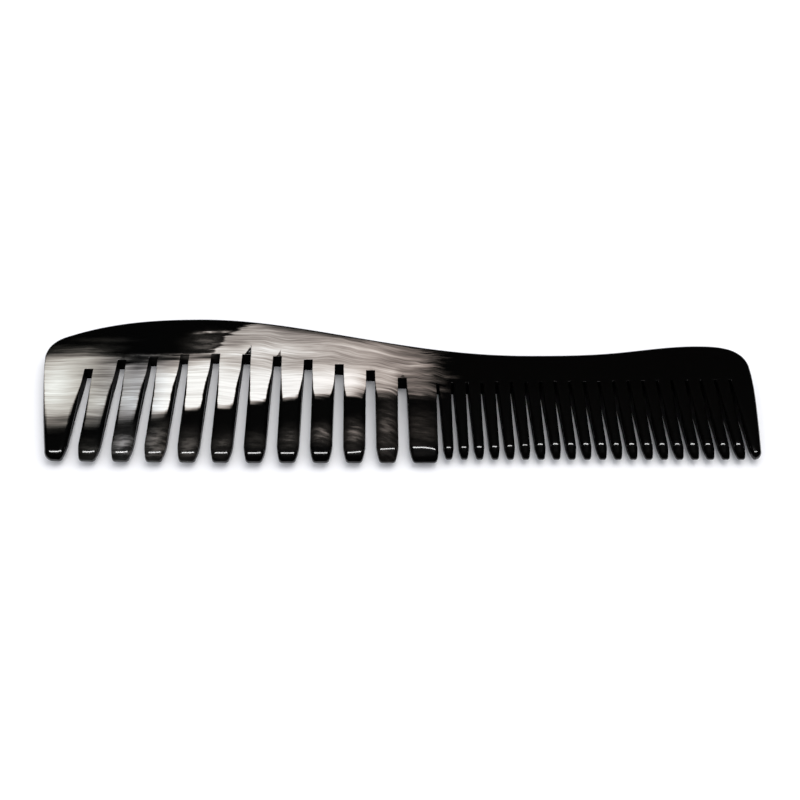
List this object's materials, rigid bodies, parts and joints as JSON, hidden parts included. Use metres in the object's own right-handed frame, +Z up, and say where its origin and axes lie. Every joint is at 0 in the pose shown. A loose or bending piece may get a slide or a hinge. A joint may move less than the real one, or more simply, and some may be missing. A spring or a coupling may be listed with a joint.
{
  "type": "beard comb",
  "caption": "Hand-cut horn comb with an S-curved back, wide teeth on one half and fine teeth on the other, lying flat.",
  "frame": {"origin": "on the flat underside, under the middle of the comb's outline", "axes": "+X along the comb from the wide teeth to the fine teeth, +Y from the tips of the teeth to the back, +Z up through its thickness"},
  "size_m": [0.1814, 0.047, 0.0044],
  "materials": {
    "horn": "polished black horn with a pale streaked layer"
  },
  "bodies": {
    "root": {"back": "horn", "wide_teeth": "horn", "fine_teeth": "horn"}
  },
  "joints": []
}
